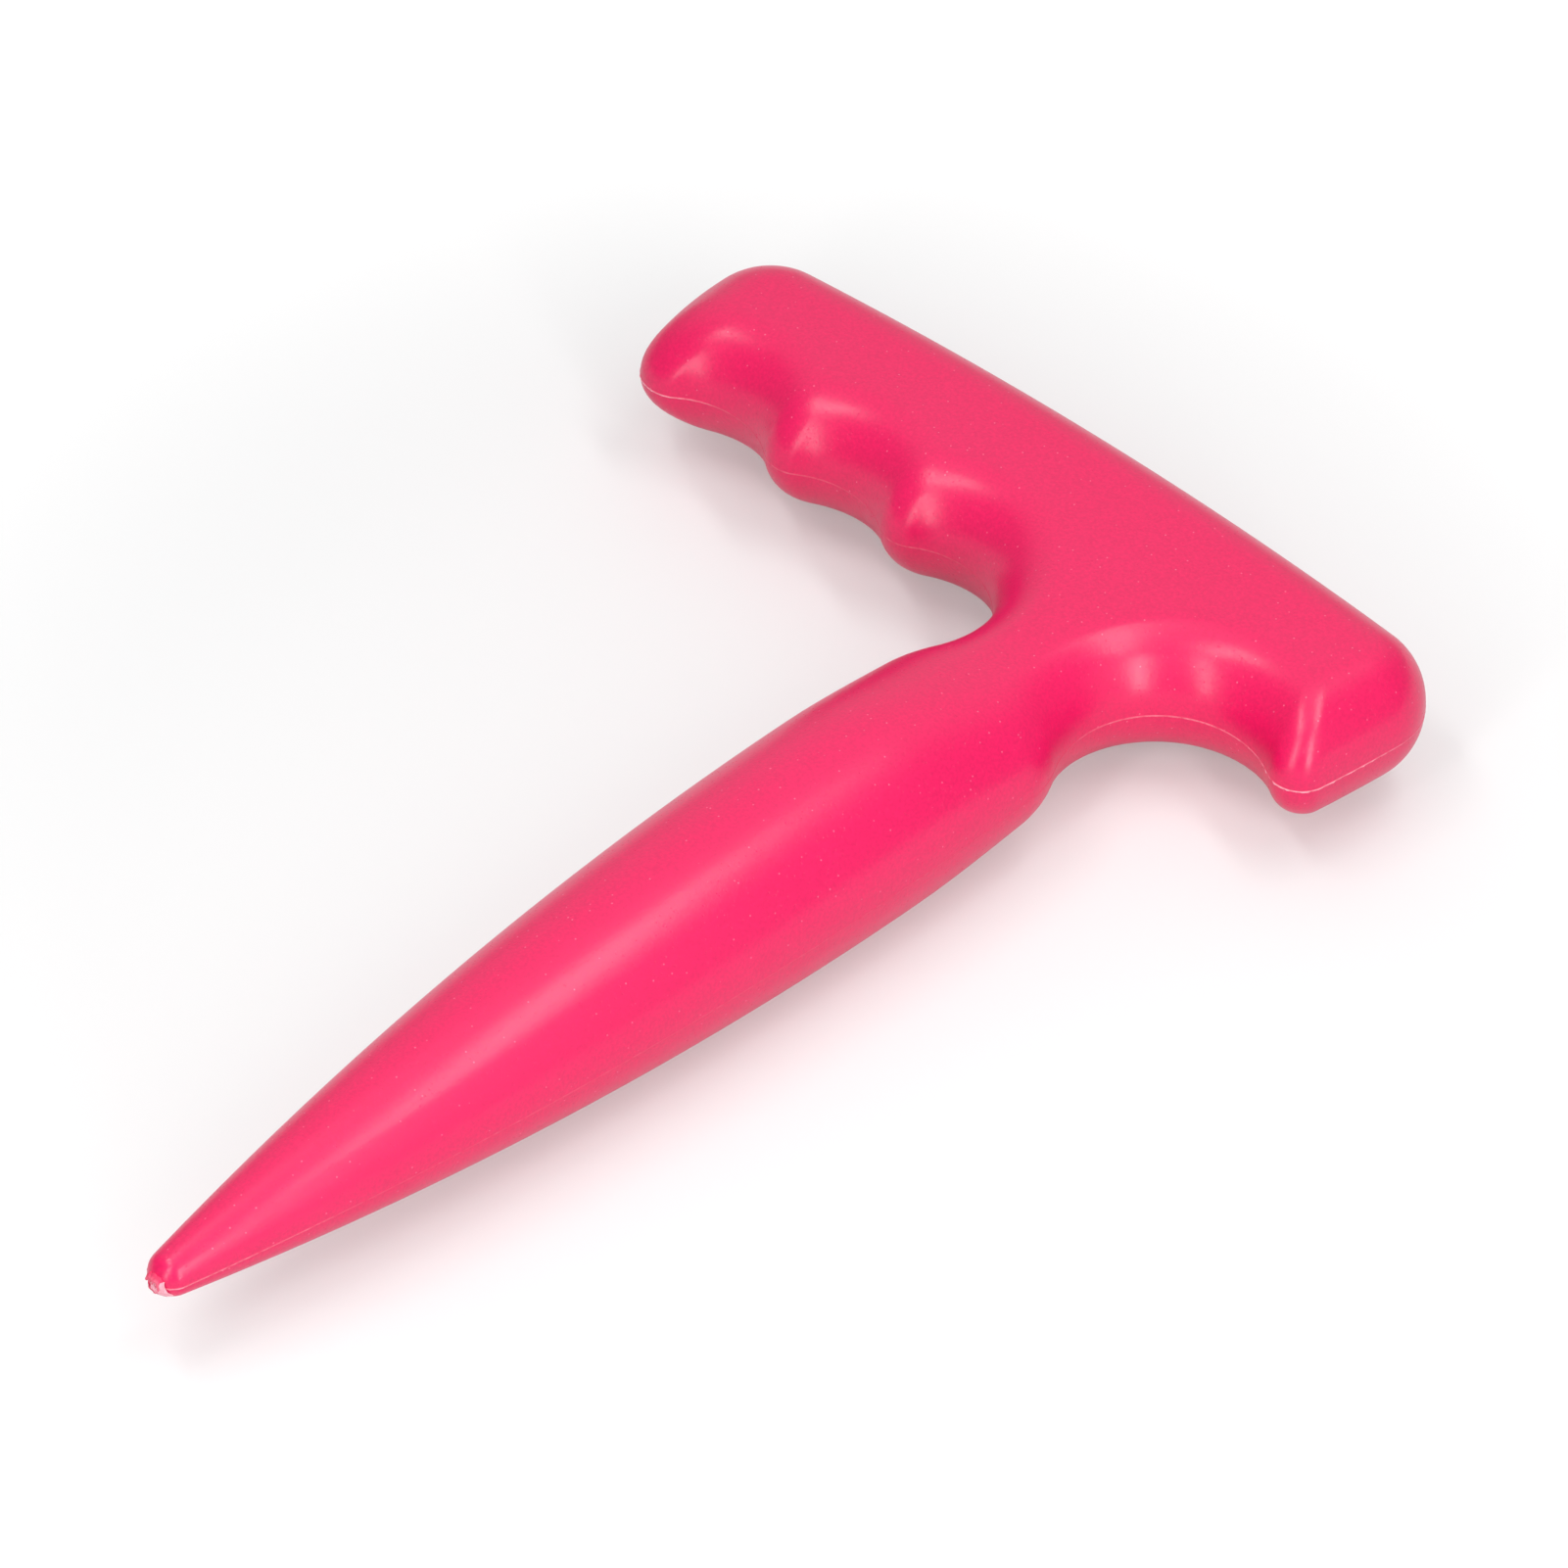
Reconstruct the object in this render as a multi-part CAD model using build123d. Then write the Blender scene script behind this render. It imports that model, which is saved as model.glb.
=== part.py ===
from build123d import *

import math
import os

# Seedling hole puncher (dibber): a hollow blow-moulded T-handled spike, lying on one side of its mould.
# Mould coordinates: X runs along the handle with the shaft's axis at x = 0, Y runs up the shaft with the
# palm edge at y = 0, and Z is the way the mould closes, with the parting plane at z = 0.
# At the end every piece is set down on the floor, centred.

# Overall sizes, mm
overall_length = 250.0         # palm edge to the end of the torn tail
wall = 2.0                     # blown wall
solid_tip = 19.0               # length of the point that is filled with plastic

# Handle, mm: its outline at the parting plane, and its thickness
handle_thickness = 26.0        # across the flat upper and lower sides
edge_roll = 11.8               # how far the rounded edge reaches in from the outline to the flat
palm_radius = 730.0            # bow of the palm edge
palm_crest_x = -11.5           # where the palm edge is highest
long_end = 24.3                # middle of the long arm's outer groove to that arm's end, at end_height
short_end = 19.8               # middle of the short arm's groove to that arm's end, at end_height
end_height = 20.0              # depth below the palm edge where the two ends are measured
end_lean = 7.0                 # degrees that each end leans outwards towards the palm
palm_corner = 14.0             # radius of the corners beside the palm
long_lobe_radius = 6.9         # rounded end of the long arm below its outer groove
short_lobe_radius = 5.6        # rounded end of the short arm below its groove
flat_corner = 2.0              # radius of all four corners at the flat upper and lower sides

# Finger grooves, mm
finger_pitch = 28.2            # outer groove to middle groove of the long arm
inner_pitch = 26.4             # middle groove to the groove beside the neck
groove_radius = 17.5           # outer and middle grooves
groove_drop = 37.2             # palm edge to the bottom of those two grooves
inner_groove_radius = 16.5     # groove between the long arm and the neck
short_groove_radius = 18.1     # groove between the short arm and the neck
stop_radius = 6.4              # rounded ridges between fingers

# Neck and shaft, mm
neck_drop = 53.3               # palm edge to the narrowest place of the neck
neck_width = 27.4              # width there
neck_sweep = 19.8              # hollow radius from the neck towards the shoulder
shoulder_radius = 18.1         # rounded shoulder of the shaft
belly_drop = 94.4              # palm edge to the widest place of the shaft
belly_width = 37.6             # width there, along the parting plane
belly_flattening = 1.5         # how much thinner it is there, across the parting plane
tip_radius = 4.0               # rounding of the point

# Parting seam and torn tail, mm
seam_thickness = 0.4           # pinched weld line between the two halves
flash_height = 0.25            # how far the trimmed flash stands out of the surface
bead_depth = 1.0               # how far the weld bead stands into the hollow
tail_length = 1.2              # how far the tail stands beyond the point
tail_width = 3.6               # along the seam, at the point
tail_thickness = 1.6           # across the seam, at the point
tail_taper = 12.0              # degrees that its sides draw in

# How the curved surfaces are stepped
edge_steps = 9                 # levels from the parting plane to the flat side
crown_angle = 86.0             # degrees that the rounded edge turns through before the flat
flank_steps = (4, 4, 10, 5)    # sections along the neck sweep, shoulder, taper and point
neck_lap = 2.0                 # the shaft's sections start this far above the narrowest place

# Worked out
neck_half = neck_width / 2
half_thickness = handle_thickness / 2 / math.sin(math.radians(crown_angle))
neck_y = -neck_drop
belly = Vector(belly_width / 2, -belly_drop)
belly_half = (belly_width - belly_flattening) / 2
point_y = tail_length - overall_length
tip_centre_y = point_y + math.sqrt(tip_radius**2 - (tail_width / 2) ** 2)
hollow_end_y = solid_tip - overall_length
taper_run = belly.Y - tip_centre_y
taper_radius = (belly.X**2 + taper_run**2 - tip_radius**2) / (2 * (belly.X - tip_radius))
taper_centre = Vector(belly.X - taper_radius, belly.Y)
palm_centre = Vector(palm_crest_x, -palm_radius)
lean = math.radians(end_lean)


def meet(c1, r1, c2, r2):
    """Point at r1 from c1 and r2 from c2, on the left of the way from c1 to c2."""
    gap = (c2 - c1).length
    along = (r1**2 - r2**2 + gap**2) / (2 * gap)
    across = math.sqrt(r1**2 - along**2)
    way = (c2 - c1).normalized()
    return c1 + way * along + Vector(-way.Y, way.X) * across


def meet_line(centre, radius, point, way):
    """Point of a line at a distance from a centre, the one farther along the line's way."""
    foot = point + way * (centre - point).dot(way)
    return foot + way * math.sqrt(radius**2 - (centre - foot).length ** 2)


def towards(start, end, length):
    """Point at a length from start on the way to end."""
    return start + (end - start).normalized() * length


def arc(centre, start, end):
    """Circular edge of less than half a turn about a centre."""
    radius = (start - centre).length
    middle = centre + ((start - centre) + (end - centre)).normalized() * radius
    return Edge.make_three_point_arc(start, middle, end)


def handle_edges(inset):
    """Handle outline, drawn in by inset, from the right of the neck round the palm to its left."""
    share = inset / edge_roll
    corner = palm_corner + (flat_corner - palm_corner) * share
    long_lobe = long_lobe_radius + (flat_corner - long_lobe_radius) * share
    short_lobe = short_lobe_radius + (flat_corner - short_lobe_radius) * share
    palm = palm_radius - inset
    short_groove = short_groove_radius + inset
    inner_groove = inner_groove_radius + inset
    groove = groove_radius + inset

    # Groove centres: the two beside the neck lie level with it
    short_centre = Vector(neck_half + short_groove_radius, neck_y)
    inner_centre = Vector(-neck_half - inner_groove_radius, neck_y)
    outer_y = -groove_drop - groove_radius
    middle_centre = Vector(inner_centre.X - inner_pitch, outer_y)
    outer_centre = Vector(middle_centre.X - finger_pitch, outer_y)

    # Leaning end lines, each given by a point and its way towards the palm
    right_way = Vector(math.sin(lean), math.cos(lean))
    left_way = Vector(-math.sin(lean), math.cos(lean))
    right_in = Vector(-math.cos(lean), math.sin(lean))
    left_in = Vector(math.cos(lean), math.sin(lean))
    right_end = Vector(short_centre.X + short_end, -end_height) + right_in * inset
    left_end = Vector(outer_centre.X - long_end, -end_height) + left_in * inset

    # Centres of the convex rounds, each tangent to its neighbours
    right_lobe = meet_line(short_centre, short_groove + short_lobe, right_end + right_in * short_lobe, right_way)
    right_corner = meet_line(palm_centre, palm - corner, right_end + right_in * corner, right_way)
    left_corner = meet_line(palm_centre, palm - corner, left_end + left_in * corner, left_way)
    left_lobe = meet_line(outer_centre, groove + long_lobe, left_end + left_in * long_lobe, left_way)
    outer_stop = meet(outer_centre, groove + stop_radius, middle_centre, groove + stop_radius)
    inner_stop = meet(middle_centre, groove + stop_radius, inner_centre, inner_groove + stop_radius)

    # Points where neighbouring rounds touch, in order
    neck_right = Vector(neck_half - inset, neck_y)
    short_groove_end = towards(short_centre, right_lobe, short_groove)
    right_end_low = right_lobe - right_in * short_lobe
    right_end_high = right_corner - right_in * corner
    palm_right = towards(palm_centre, right_corner, palm)
    palm_left = towards(palm_centre, left_corner, palm)
    left_end_high = left_corner - left_in * corner
    left_end_low = left_lobe - left_in * long_lobe
    outer_groove_start = towards(outer_centre, left_lobe, groove)
    outer_groove_end = towards(outer_centre, outer_stop, groove)
    middle_groove_start = towards(middle_centre, outer_stop, groove)
    middle_groove_end = towards(middle_centre, inner_stop, groove)
    inner_groove_start = towards(inner_centre, inner_stop, inner_groove)
    neck_left = Vector(-neck_half + inset, neck_y)
    return [
        arc(short_centre, neck_right, short_groove_end),
        arc(right_lobe, short_groove_end, right_end_low),
        Edge.make_line(right_end_low, right_end_high),
        arc(right_corner, right_end_high, palm_right),
        arc(palm_centre, palm_right, palm_left),
        arc(left_corner, palm_left, left_end_high),
        Edge.make_line(left_end_high, left_end_low),
        arc(left_lobe, left_end_low, outer_groove_start),
        arc(outer_centre, outer_groove_start, outer_groove_end),
        arc(outer_stop, outer_groove_end, middle_groove_start),
        arc(middle_centre, middle_groove_start, middle_groove_end),
        arc(inner_stop, middle_groove_end, inner_groove_start),
        arc(inner_centre, inner_groove_start, neck_left),
    ]


def flank_edges(inset, stop_y):
    """Right-hand outline of the shaft, drawn in by inset, from the neck down to stop_y."""
    sweep = neck_sweep + inset
    shoulder = shoulder_radius - inset
    taper = taper_radius - inset
    tip = tip_radius - inset
    sweep_centre = Vector(neck_half + neck_sweep, neck_y)
    shoulder_centre = meet(sweep_centre, sweep + shoulder, taper_centre, taper - shoulder)
    tip_centre = Vector(0, tip_centre_y)

    neck = Vector(neck_half - inset, neck_y)
    shoulder_start = towards(sweep_centre, shoulder_centre, sweep)
    taper_start = towards(taper_centre, shoulder_centre, taper)
    edges = [arc(sweep_centre, neck, shoulder_start), arc(shoulder_centre, shoulder_start, taper_start)]
    if stop_y > tip_centre_y:
        drop = stop_y - taper_centre.Y
        taper_end = Vector(taper_centre.X + math.sqrt(taper**2 - drop**2), stop_y)
        return edges + [arc(taper_centre, taper_start, taper_end)]
    taper_end = towards(taper_centre, tip_centre, taper)
    tip_end = Vector(math.sqrt(tip**2 - (tip_centre_y - stop_y) ** 2), stop_y)
    return edges + [arc(taper_centre, taper_start, taper_end), arc(tip_centre, taper_end, tip_end)]


def outline(inset, stop_y):
    """Face inside the whole parting line, drawn in by inset and ended square at stop_y."""
    right = flank_edges(inset, stop_y)
    left = [edge.mirror(Plane.YZ) for edge in right]
    end = Edge.make_line(right[-1] @ 1, left[-1] @ 1)
    return Face(Wire(handle_edges(inset) + right + left + [end]))


def oval(place, inset):
    """Oval section of the shaft at a place of its flank, split where the handle's flat sides begin."""
    drop = (neck_y - place.Y) / (neck_y - belly.Y)
    if drop < 1:
        half_height = half_thickness + (belly_half - half_thickness) * drop**2 * (3 - 2 * drop) - inset
    else:
        half_height = (place.X + inset) * belly_half / belly.X - inset
    plane = Plane((0, place.Y, 0), x_dir=(1, 0, 0), z_dir=(0, -1, 0))
    marks = (-crown_angle, crown_angle, 180 - crown_angle, 180 + crown_angle, 360 - crown_angle)
    return Wire([Edge.make_ellipse(place.X, half_height, plane, a, b) for a, b in zip(marks, marks[1:])])


def moulding(inset, stop_y):
    """Whole dibber from the palm to stop_y, drawn in by inset on every side."""
    # Handle: one outline for each level of its rounded edge
    levels = []
    for step in range(-edge_steps, edge_steps + 1):
        angle = math.radians(crown_angle * step / edge_steps)
        edges = handle_edges(inset + (edge_roll - inset) * (1 - math.cos(angle)))
        edges.append(Edge.make_line(edges[-1] @ 1, edges[0] @ 0))
        levels.append(Wire(edges).moved(Pos(0, 0, (half_thickness - inset) * math.sin(angle))))
    neck_plane = Plane((0, neck_y + neck_lap, 0), z_dir=(0, 1, 0))
    handle = Solid.make_loft(levels).split(neck_plane, keep=Keep.TOP)

    # Shaft: ovals that start from the neck's own section and crowd towards the point
    sections = [handle.faces().sort_by(Axis.Y)[0].outer_wire()]
    for edge, count in zip(flank_edges(inset, stop_y), flank_steps):
        for step in range(count):
            sections.append(oval(edge @ math.sin(math.pi / 2 * step / count), inset))
    sections.append(oval(edge @ 1, inset))
    return handle + Solid.make_loft(sections)


def half_shells():
    """Upper and lower halves of the hollow moulding, a seam thickness apart."""
    hollow = moulding(0, point_y) - moulding(wall, hollow_end_y)
    upper = hollow.split(Plane((0, 0, seam_thickness / 2)), keep=Keep.TOP)
    return upper, upper.mirror(Plane.XY)


def parting_seam():
    """Weld line all round the parting plane: trimmed flash outside, a bead inside."""
    outer = outline(-flash_height, point_y)
    inner = outline(wall + bead_depth, hollow_end_y + bead_depth)
    return extrude(outer - inner, amount=seam_thickness / 2, dir=(0, 0, 1), both=True)


def torn_tail():
    """Stub of pinched plastic left where the point was torn from its sprue."""
    plane = Plane((0, point_y, 0), x_dir=(1, 0, 0), z_dir=(0, -1, 0))
    return extrude(plane * SlotOverall(tail_width, tail_thickness), amount=tail_length, taper=tail_taper)


upper_shell, lower_shell = half_shells()
pieces = {
    "upper_shell": upper_shell,
    "lower_shell": lower_shell,
    "parting_seam": parting_seam(),
    "tip_tail": torn_tail(),
}

# Set down on the floor: centred in plan, the shaft's belly at z = 0
box = Compound([solid for piece in pieces.values() for solid in piece.solids()]).bounding_box()
floor = Pos(-box.center().X, -box.center().Y, -box.min.Z)
os.makedirs("parts", exist_ok=True)
for name, piece in pieces.items():
    placed = floor * piece
    size = placed.bounding_box().size
    print(f"{name}: {len(placed.solids())} solid, {placed.volume:.0f} mm3, valid {placed.is_valid}, {size}")
    export_step(placed, f"parts/{name}.step")
print(f"set down by {floor.position}, box {box.size}, taper radius {taper_radius:.1f}")
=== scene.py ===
import logging
import math
from abc import ABC, abstractmethod
from dataclasses import dataclass, field
from enum import Enum
from typing import Any, Callable, Iterable

import bmesh
import bpy
import numpy as np
from mathutils import Matrix, Vector, geometry, noise

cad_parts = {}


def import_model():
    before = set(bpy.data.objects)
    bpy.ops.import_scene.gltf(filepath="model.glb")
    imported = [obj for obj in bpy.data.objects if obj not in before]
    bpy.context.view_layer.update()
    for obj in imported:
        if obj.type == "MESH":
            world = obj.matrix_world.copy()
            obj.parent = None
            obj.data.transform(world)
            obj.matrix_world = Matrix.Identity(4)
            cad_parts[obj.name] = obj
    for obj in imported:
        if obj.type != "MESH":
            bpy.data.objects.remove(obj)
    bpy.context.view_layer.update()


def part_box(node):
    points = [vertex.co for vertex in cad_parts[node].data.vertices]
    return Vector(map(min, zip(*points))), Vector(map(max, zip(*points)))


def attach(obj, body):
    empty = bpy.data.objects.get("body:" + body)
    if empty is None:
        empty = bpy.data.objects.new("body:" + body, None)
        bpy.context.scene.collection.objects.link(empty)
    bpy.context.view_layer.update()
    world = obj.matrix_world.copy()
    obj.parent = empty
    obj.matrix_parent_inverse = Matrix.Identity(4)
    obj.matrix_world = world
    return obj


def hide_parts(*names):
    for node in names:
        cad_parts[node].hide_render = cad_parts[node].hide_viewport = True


# Looks of a seedling hole puncher: a hollow blow-moulded dibber of pink polyethylene.
# Sizes are in mm in mould coordinates: X runs along the handle with the shaft's axis at x = 0, Y runs up
# the shaft with the palm edge at y = 0, and Z is the way the mould closes, with the parting plane at z = 0.

MM = 0.001
TINY = 1e-6
PHOTO_PIXELS = 1601
SENSOR_MM = 36.0
BODY = "root"
DRAWN = "drawn"  # name of the vertex values that say how far the plastic was stretched
NOISE_SPAN = {"From Min": 0.3, "From Max": 0.7}  # most of a noise texture's values lie between these
COLOUR_A, COLOUR_B, COLOUR_RESULT = 6, 7, 2  # a mix node's colour sockets, whose names are not unique
INSIDE_ONLY = 1  # asks a triangulation for the triangles inside its outline
LOG = logging.getLogger("dibber")


class Half(Enum):
    """The two mould halves, by the side of the parting plane that they form."""

    UPPER = 1
    LOWER = -1


class Place(Enum):
    """Stretches of the parting line, which differ in how much flash the trimming left."""

    POINT = "point"
    SHAFT = "shaft"
    NECK = "neck"
    GROOVE = "groove"
    SHORT_GROOVE = "short groove"
    STOP = "stop"
    LOBE = "lobe"
    END = "end"
    CORNER = "corner"
    PALM = "palm"


def linear(colour: str) -> tuple[float, float, float, float]:
    """Turns an sRGB hex colour into linear RGBA.

    Args:
        colour: Six hex digits after a hash sign.

    Returns:
        Linear red, green, blue and an alpha of 1.
    """
    channels = [int(colour[i:i + 2], 16) / 255 for i in (1, 3, 5)]
    red, green, blue = (c / 12.92 if c <= 0.04045 else ((c + 0.055) / 1.055) ** 2.4 for c in channels)
    return red, green, blue, 1.0


def per_metre(size_mm: float) -> float:
    """Gives a pattern's scale in metres from the real size of its cells."""
    return 1.0 / (size_mm * MM)


def add_node(
    tree: bpy.types.NodeTree, kind: str, settings: dict[Any, Any], links: dict[Any, Any]
) -> bpy.types.NodeOutputs:
    """Adds a node with its settings and links.

    Args:
        tree: Node tree of a material or a world.
        kind: Blender's name for the node's type.
        settings: Values by field name, or by name or number of an input.
        links: Output sockets by name or number of the input that they feed.

    Returns:
        The new node's output sockets.
    """
    node = tree.nodes.new(kind)
    for key, value in settings.items():
        if isinstance(key, str) and hasattr(node, key):
            setattr(node, key, value)
        else:
            node.inputs[key].default_value = value
    for key, socket in links.items():
        tree.links.new(socket, node.inputs[key])
    return node.outputs


def blank_material(name: str) -> bpy.types.Material:
    """Makes a material with an empty node tree.

    Args:
        name: Name of the material.

    Returns:
        The new material.
    """
    material = bpy.data.materials.new(name)
    material.use_nodes = True
    material.node_tree.nodes.clear()
    return material


@dataclass(frozen=True)
class BlownPolyethylene:
    """Pigmented high-density polyethylene blown against a sand-blasted mould.

    The blasted mould leaves a satin skin with a fine grain and small pits that soften every highlight, the
    blowing leaves a slow waviness, and undissolved pigment shows as sparse pale specks.
    """

    name: str = "pink_polyethylene_blown"
    pink: str = "#EC1661"
    deep_pink: str = "#E8125A"  # in slow clouds, where the pigment is denser
    speck: str = "#FA86A6"
    ior: float = 1.54  # high-density polyethylene's
    roughness: float = 0.3
    roughness_spread: float = 0.02
    cloud_mm: float = 32.0
    wave_mm: float = 16.0
    wave_height_mm: float = 0.05
    grain_mm: float = 0.55  # the real grain is about 0.15 mm: drawn coarser so that it shows
    grain_height_mm: float = 0.02
    mottle: float = 0.07  # how far the grain lightens and darkens the colour
    pit_spacing_mm: float = 1.0
    pit_radius_mm: float = 0.18  # the real pits are about 0.1 mm: drawn coarser so that they show
    pit_core: float = 0.3  # share of a pit's radius that is at full depth
    pit_depth_mm: float = 0.03
    pit_roughness: float = 0.75
    speck_spacing_mm: float = 2.0
    speck_radius_mm: float = 0.2  # the real specks are about 0.1 mm: drawn coarser so that they show
    speck_core: float = 0.4  # share of a speck's radius that is at full strength
    speck_share: float = 0.6  # how far a speck's middle takes its own colour

    def material(self) -> bpy.types.Material:
        """Builds the satin pink shader.

        Returns:
            The new material.
        """
        material = blank_material(self.name)
        tree = material.node_tree
        place = {"Vector": add_node(tree, "ShaderNodeTexCoord", {}, {})["Object"]}
        clouds, waves, grain = (
            add_node(tree, "ShaderNodeTexNoise", {"Scale": per_metre(size), "Detail": detail}, place)["Fac"]
            for size, detail in ((self.cloud_mm, 3.0), (self.wave_mm, 1.0), (self.grain_mm, 2.0))
        )
        cells, holes = (
            add_node(tree, "ShaderNodeTexVoronoi", {"Scale": per_metre(spacing)}, place)["Distance"]
            for spacing in (self.speck_spacing_mm, self.pit_spacing_mm)
        )

        # Colour: pink in clouds, then the specks, then the grain's mottle
        pinks = {"data_type": "RGBA", COLOUR_A: linear(self.pink), COLOUR_B: linear(self.deep_pink)}
        body = add_node(tree, "ShaderNodeMix", pinks, {"Factor": clouds})[COLOUR_RESULT]
        reach = self.speck_radius_mm / self.speck_spacing_mm
        fade = {
            "From Min": self.speck_core * reach, "From Max": reach,
            "To Min": self.speck_share, "To Max": 0.0,
        }
        dots = add_node(tree, "ShaderNodeMapRange", fade, {"Value": cells})["Result"]
        pale = {"data_type": "RGBA", COLOUR_B: linear(self.speck)}
        speckled = add_node(tree, "ShaderNodeMix", pale, {"Factor": dots, COLOUR_A: body})[COLOUR_RESULT]
        shades = {**NOISE_SPAN, "To Min": 1 - self.mottle, "To Max": 1 + self.mottle}
        mottle = add_node(tree, "ShaderNodeMapRange", shades, {"Value": grain})["Result"]
        scaled = {0: speckled, "Scale": mottle}
        colour = add_node(tree, "ShaderNodeVectorMath", {"operation": "SCALE"}, scaled)["Vector"]

        # Gloss: satin that varies with the grain, and dull pits
        smoothest, roughest = self.roughness - self.roughness_spread, self.roughness + self.roughness_spread
        glosses = {**NOISE_SPAN, "To Min": smoothest, "To Max": roughest}
        satin = add_node(tree, "ShaderNodeMapRange", glosses, {"Value": grain})["Result"]
        pit_reach = self.pit_radius_mm / self.pit_spacing_mm
        rise = {"From Min": self.pit_core * pit_reach, "From Max": pit_reach, "To Min": 0.0, "To Max": 1.0}
        pits = add_node(tree, "ShaderNodeMapRange", rise, {"Value": holes})["Result"]
        dull = {"A": self.pit_roughness}
        roughness = add_node(tree, "ShaderNodeMix", dull, {"Factor": pits, "B": satin})["Result"]

        # Relief: waves, pits and grain, each on top of the last
        heights = ((waves, self.wave_height_mm), (pits, self.pit_depth_mm), (grain, self.grain_height_mm))
        relief = {}
        for height, depth_mm in heights:
            bump = {"Strength": 1.0, "Distance": depth_mm * MM}
            normal = add_node(tree, "ShaderNodeBump", bump, {"Height": height, **relief})["Normal"]
            relief = {"Normal": normal}

        surface = {"Base Color": colour, "Roughness": roughness, **relief}
        shader = add_node(tree, "ShaderNodeBsdfPrincipled", {"IOR": self.ior}, surface)["BSDF"]
        add_node(tree, "ShaderNodeOutputMaterial", {}, {"Surface": shader})
        return material


@dataclass(frozen=True)
class StretchedPolyethylene:
    """The same polyethylene where it was pinched, trimmed or torn.

    Stretching opens tiny voids that scatter light, so the plastic turns paler the more it was drawn, and
    the torn surface is matt and stringy.
    """

    name: str = "pink_polyethylene_drawn"
    pink: str = "#EA1E5C"
    whitened: str = "#FFC2D0"
    ior: float = 1.45  # a little under solid polyethylene's, for the voids
    roughness: float = 0.5
    fibre_mm: float = 0.35
    fibre_height_mm: float = 0.03
    evenness: float = 0.7  # least share of the whitening that is left between fibres

    def material(self) -> bpy.types.Material:
        """Builds the paler shader of flash and tears.

        Returns:
            The new material.
        """
        material = blank_material(self.name)
        tree = material.node_tree
        place = {"Vector": add_node(tree, "ShaderNodeTexCoord", {}, {})["Object"]}
        drawn = add_node(tree, "ShaderNodeAttribute", {"attribute_name": DRAWN}, {})["Fac"]
        strands = {"Scale": per_metre(self.fibre_mm), "Detail": 3.0}
        fibres = add_node(tree, "ShaderNodeTexNoise", strands, place)["Fac"]
        shades = {**NOISE_SPAN, "To Min": self.evenness, "To Max": 1.0}
        uneven = add_node(tree, "ShaderNodeMapRange", shades, {"Value": fibres})["Result"]
        share = add_node(tree, "ShaderNodeMath", {"operation": "MULTIPLY"}, {0: drawn, 1: uneven})["Value"]
        pinks = {"data_type": "RGBA", COLOUR_A: linear(self.pink), COLOUR_B: linear(self.whitened)}
        colour = add_node(tree, "ShaderNodeMix", pinks, {"Factor": share})[COLOUR_RESULT]
        bump = {"Strength": 1.0, "Distance": self.fibre_height_mm * MM}
        relief = add_node(tree, "ShaderNodeBump", bump, {"Height": fibres})["Normal"]
        matt = {"IOR": self.ior, "Roughness": self.roughness}
        surface = {"Base Color": colour, "Normal": relief}
        shader = add_node(tree, "ShaderNodeBsdfPrincipled", matt, surface)["BSDF"]
        add_node(tree, "ShaderNodeOutputMaterial", {}, {"Surface": shader})
        return material


@dataclass(frozen=True)
class PaperFloor:
    """Matt white studio paper, an uncoated sheet with no gloss of its own.

    It takes the soft shadow near the object. A glow that lights nothing, and that only the camera and the
    object's gloss see, makes it fade to plain white farther away.
    """

    name: str = "white_studio_paper"
    white: str = "#D2D2D2"
    near_lift: float = 0.27  # the glow's strength beside the object
    far_lift: float = 0.7  # and away from it
    gloss_share: float = 0.42  # share of the glow that the object's gloss sees
    near_mm: float = 110.0
    far_mm: float = 330.0
    middle: tuple[float, float, float] = (0.016, 0.027, 0.0)  # place on the floor, in metres

    def material(self) -> bpy.types.Material:
        """Builds the paper's shader.

        Returns:
            The new material.
        """
        material = blank_material(self.name)
        tree = material.node_tree
        rays = add_node(tree, "ShaderNodeLightPath", {}, {})
        shiny = add_node(tree, "ShaderNodeMath", {"operation": "MAXIMUM"},
                         {0: rays["Is Glossy Ray"], 1: rays["Is Transmission Ray"]})["Value"]
        weaker = {"operation": "MULTIPLY", 1: self.gloss_share}
        gloss = add_node(tree, "ShaderNodeMath", weaker, {0: shiny})["Value"]
        seen = add_node(tree, "ShaderNodeMath", {"operation": "MAXIMUM"},
                        {0: rays["Is Camera Ray"], 1: gloss})["Value"]
        place = add_node(tree, "ShaderNodeNewGeometry", {}, {})["Position"]
        from_middle = {"operation": "DISTANCE", 1: self.middle}
        away = add_node(tree, "ShaderNodeVectorMath", from_middle, {0: place})["Value"]
        fade = {
            "interpolation_type": "SMOOTHSTEP",
            "From Min": self.near_mm * MM, "From Max": self.far_mm * MM,
            "To Min": self.near_lift, "To Max": self.far_lift,
        }
        lift = add_node(tree, "ShaderNodeMapRange", fade, {"Value": away})["Result"]
        level = add_node(tree, "ShaderNodeMath", {"operation": "MULTIPLY"}, {0: seen, 1: lift})["Value"]
        glow = add_node(tree, "ShaderNodeEmission", {}, {"Strength": level})["Emission"]
        paper = add_node(tree, "ShaderNodeBsdfDiffuse", {"Color": linear(self.white)}, {})["BSDF"]
        both = add_node(tree, "ShaderNodeAddShader", {}, {0: paper, 1: glow})["Shader"]
        add_node(tree, "ShaderNodeOutputMaterial", {}, {"Surface": both})
        return material


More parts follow.
